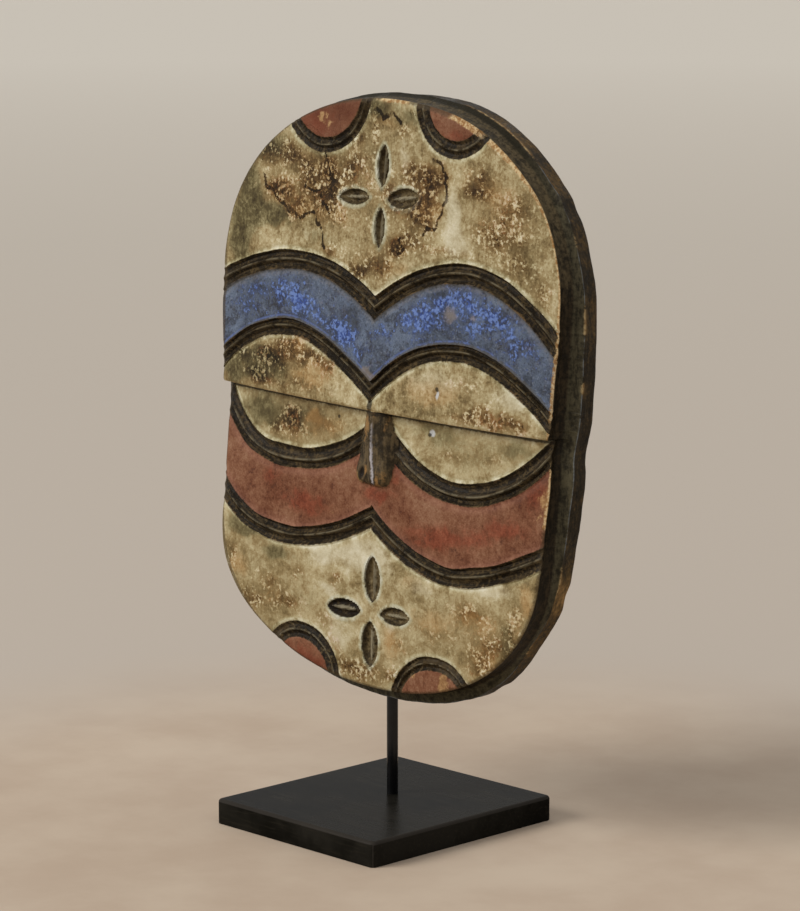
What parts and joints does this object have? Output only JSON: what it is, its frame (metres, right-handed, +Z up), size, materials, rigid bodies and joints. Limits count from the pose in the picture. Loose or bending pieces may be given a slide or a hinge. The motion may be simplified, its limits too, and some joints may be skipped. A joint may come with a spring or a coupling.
{
  "type": "carved wooden face mask on a stand",
  "caption": "Flat oval carved and painted wooden face mask with arched black lines, held upright by a thin rod in a square base plate.",
  "frame": {"origin": "centre of the base plate's underside, on the surface the stand rests on", "axes": "+Z up, -Y the way the mask faces, +X to the right of a viewer who faces the mask"},
  "size_m": [0.3506, 0.176, 0.5146],
  "materials": {
    "painted_wood": "worn matt paint in cream, blue, red and black on carved wood",
    "black_wood": "satin black lacquer",
    "black_steel": "satin black paint"
  },
  "bodies": {
    "root": {"base_plate": "black_wood", "rod": "black_steel", "mask": "painted_wood"}
  },
  "joints": []
}
